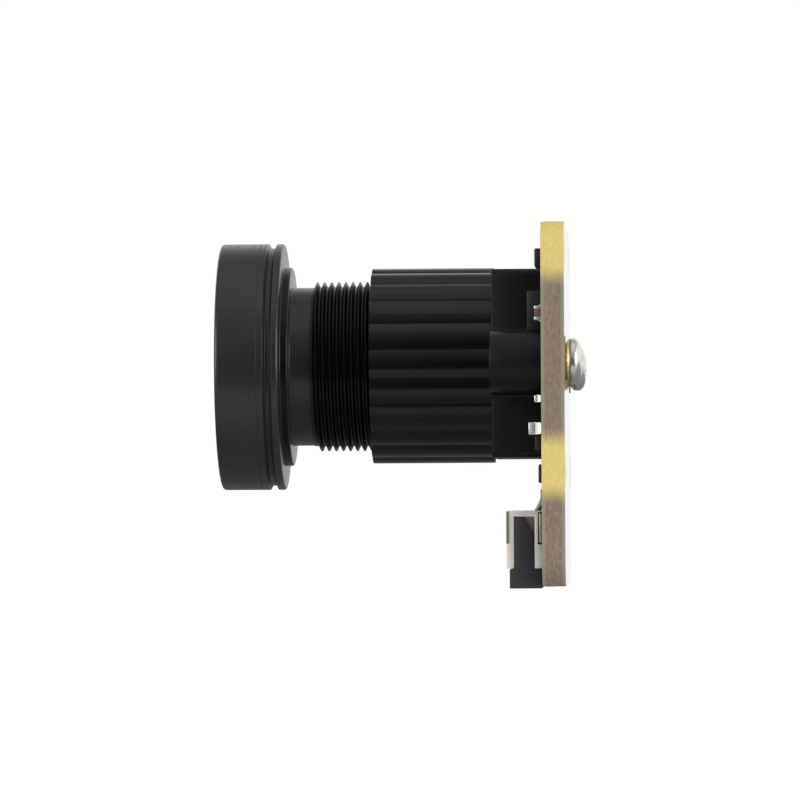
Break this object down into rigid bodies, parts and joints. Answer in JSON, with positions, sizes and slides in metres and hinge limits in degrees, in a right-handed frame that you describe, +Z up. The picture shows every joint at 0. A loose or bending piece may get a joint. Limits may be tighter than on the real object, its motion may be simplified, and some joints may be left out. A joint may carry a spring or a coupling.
{
  "type": "board camera module",
  "caption": "Board camera module: a screw-in lens in a reeded holder on a small square circuit board, with a flat-cable socket and its sliding lock.",
  "frame": {"origin": "on the lens axis at the board's back face, which is also the centre of the four mounting holes", "axes": "+Z up along the board, the lens looks along -Y, +Y leaves the board's back face, X across the board"},
  "size_m": [0.025, 0.0255, 0.0251],
  "materials": {
    "board": "glass-fibre laminate with solder mask",
    "gold_pad": "gold plate",
    "holder_plastic": "moulded black plastic",
    "screw_steel": "nickel plate",
    "lens_metal": "black anodised",
    "lens_glass": "coated optical glass",
    "filter_glass": "tinted glass",
    "black_ring": "flat black",
    "ceramic": "dark ceramic",
    "silicon": "polished silicon",
    "socket_plastic": "moulded natural nylon",
    "lock_plastic": "moulded black plastic",
    "contact_metal": "tin plate",
    "capacitor_ceramic": "fired ceramic",
    "resistor_coat": "glazed black",
    "chip_plastic": "moulded epoxy",
    "lid_metal": "satin metal"
  },
  "bodies": {
    "board": {"circuit_board": "board", "screw_pads": "gold_pad", "lens_holder": "holder_plastic", "infrared_filter": "filter_glass", "holder_screws": "screw_steel", "sensor_package": "ceramic", "sensor_die": "silicon", "sensor_cover_glass": "lens_glass", "cable_socket": "socket_plastic", "cable_contacts": "contact_metal", "anchor_tabs": "contact_metal", "capacitor_bodies": "capacitor_ceramic", "capacitor_ends": "contact_metal", "resistor_bodies": "resistor_coat", "resistor_ends": "contact_metal", "moulded_chips": "chip_plastic", "oscillator_base": "ceramic", "oscillator_lid": "lid_metal"},
    "lens_inside": {"front_glass": "lens_glass", "front_spacer": "black_ring", "second_glass": "lens_glass", "third_glass": "lens_glass", "aperture_stop": "black_ring", "fourth_glass": "lens_glass", "rear_spacer": "black_ring", "rear_glass": "lens_glass", "rear_retainer": "black_ring"},
    "lens": {"lens_barrel": "lens_metal", "front_cap": "lens_metal"},
    "lock": {"cable_lock": "lock_plastic"}
  },
  "joints": [
    {"name": "focus_travel", "type": "slide", "parent": "board", "child": "lens_inside", "axis": [0, -1, 0], "range_m": [-0.00025, 0.001]},
    {"name": "focus_turn", "type": "hinge", "parent": "lens_inside", "child": "lens", "pos_m": [0, 0, 0], "axis": [0, -1, 0], "range_deg": [-190, 730]},
    {"name": "cable_lock_slide", "type": "slide", "parent": "board", "child": "lock", "axis": [0, 0, -1], "range_m": [0, 0.0012]}
  ],
  "couplings": [
    {"joint": "focus_turn", "follows": "focus_travel", "rad_per_m": 12566}
  ]
}
